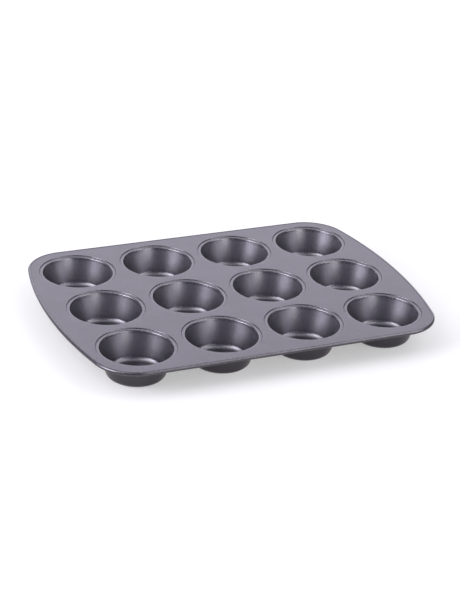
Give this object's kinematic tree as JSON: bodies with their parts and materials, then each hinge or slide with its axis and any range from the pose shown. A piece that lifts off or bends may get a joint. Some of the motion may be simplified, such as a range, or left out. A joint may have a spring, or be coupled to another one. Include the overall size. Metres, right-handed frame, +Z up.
{
  "type": "muffin tin",
  "caption": "Rectangular muffin tin with bowed ends and a rolled wired rim, holding a grid of round tapered cups whose flanges lie in stepped seats.",
  "frame": {"origin": "on the surface that the tin stands on, under the middle of the tray", "axes": "+Z up, +X along the tray towards one bowed end, +Y across it towards the back row of cups"},
  "size_m": [0.37, 0.2694, 0.0293],
  "materials": {
    "tray_coating": "satin dark grey non-stick coating with a fine metallic grain",
    "cup_coating": "satin dark grey non-stick coating with a fine metallic grain",
    "wire_steel": "plain drawn steel wire"
  },
  "bodies": {
    "root": {"tray": "tray_coating", "rim_wire": "wire_steel", "cup_front_1": "cup_coating", "cup_front_2": "cup_coating", "cup_front_3": "cup_coating", "cup_front_4": "cup_coating", "cup_middle_1": "cup_coating", "cup_middle_2": "cup_coating", "cup_middle_3": "cup_coating", "cup_middle_4": "cup_coating", "cup_back_1": "cup_coating", "cup_back_2": "cup_coating", "cup_back_3": "cup_coating", "cup_back_4": "cup_coating"}
  },
  "joints": []
}
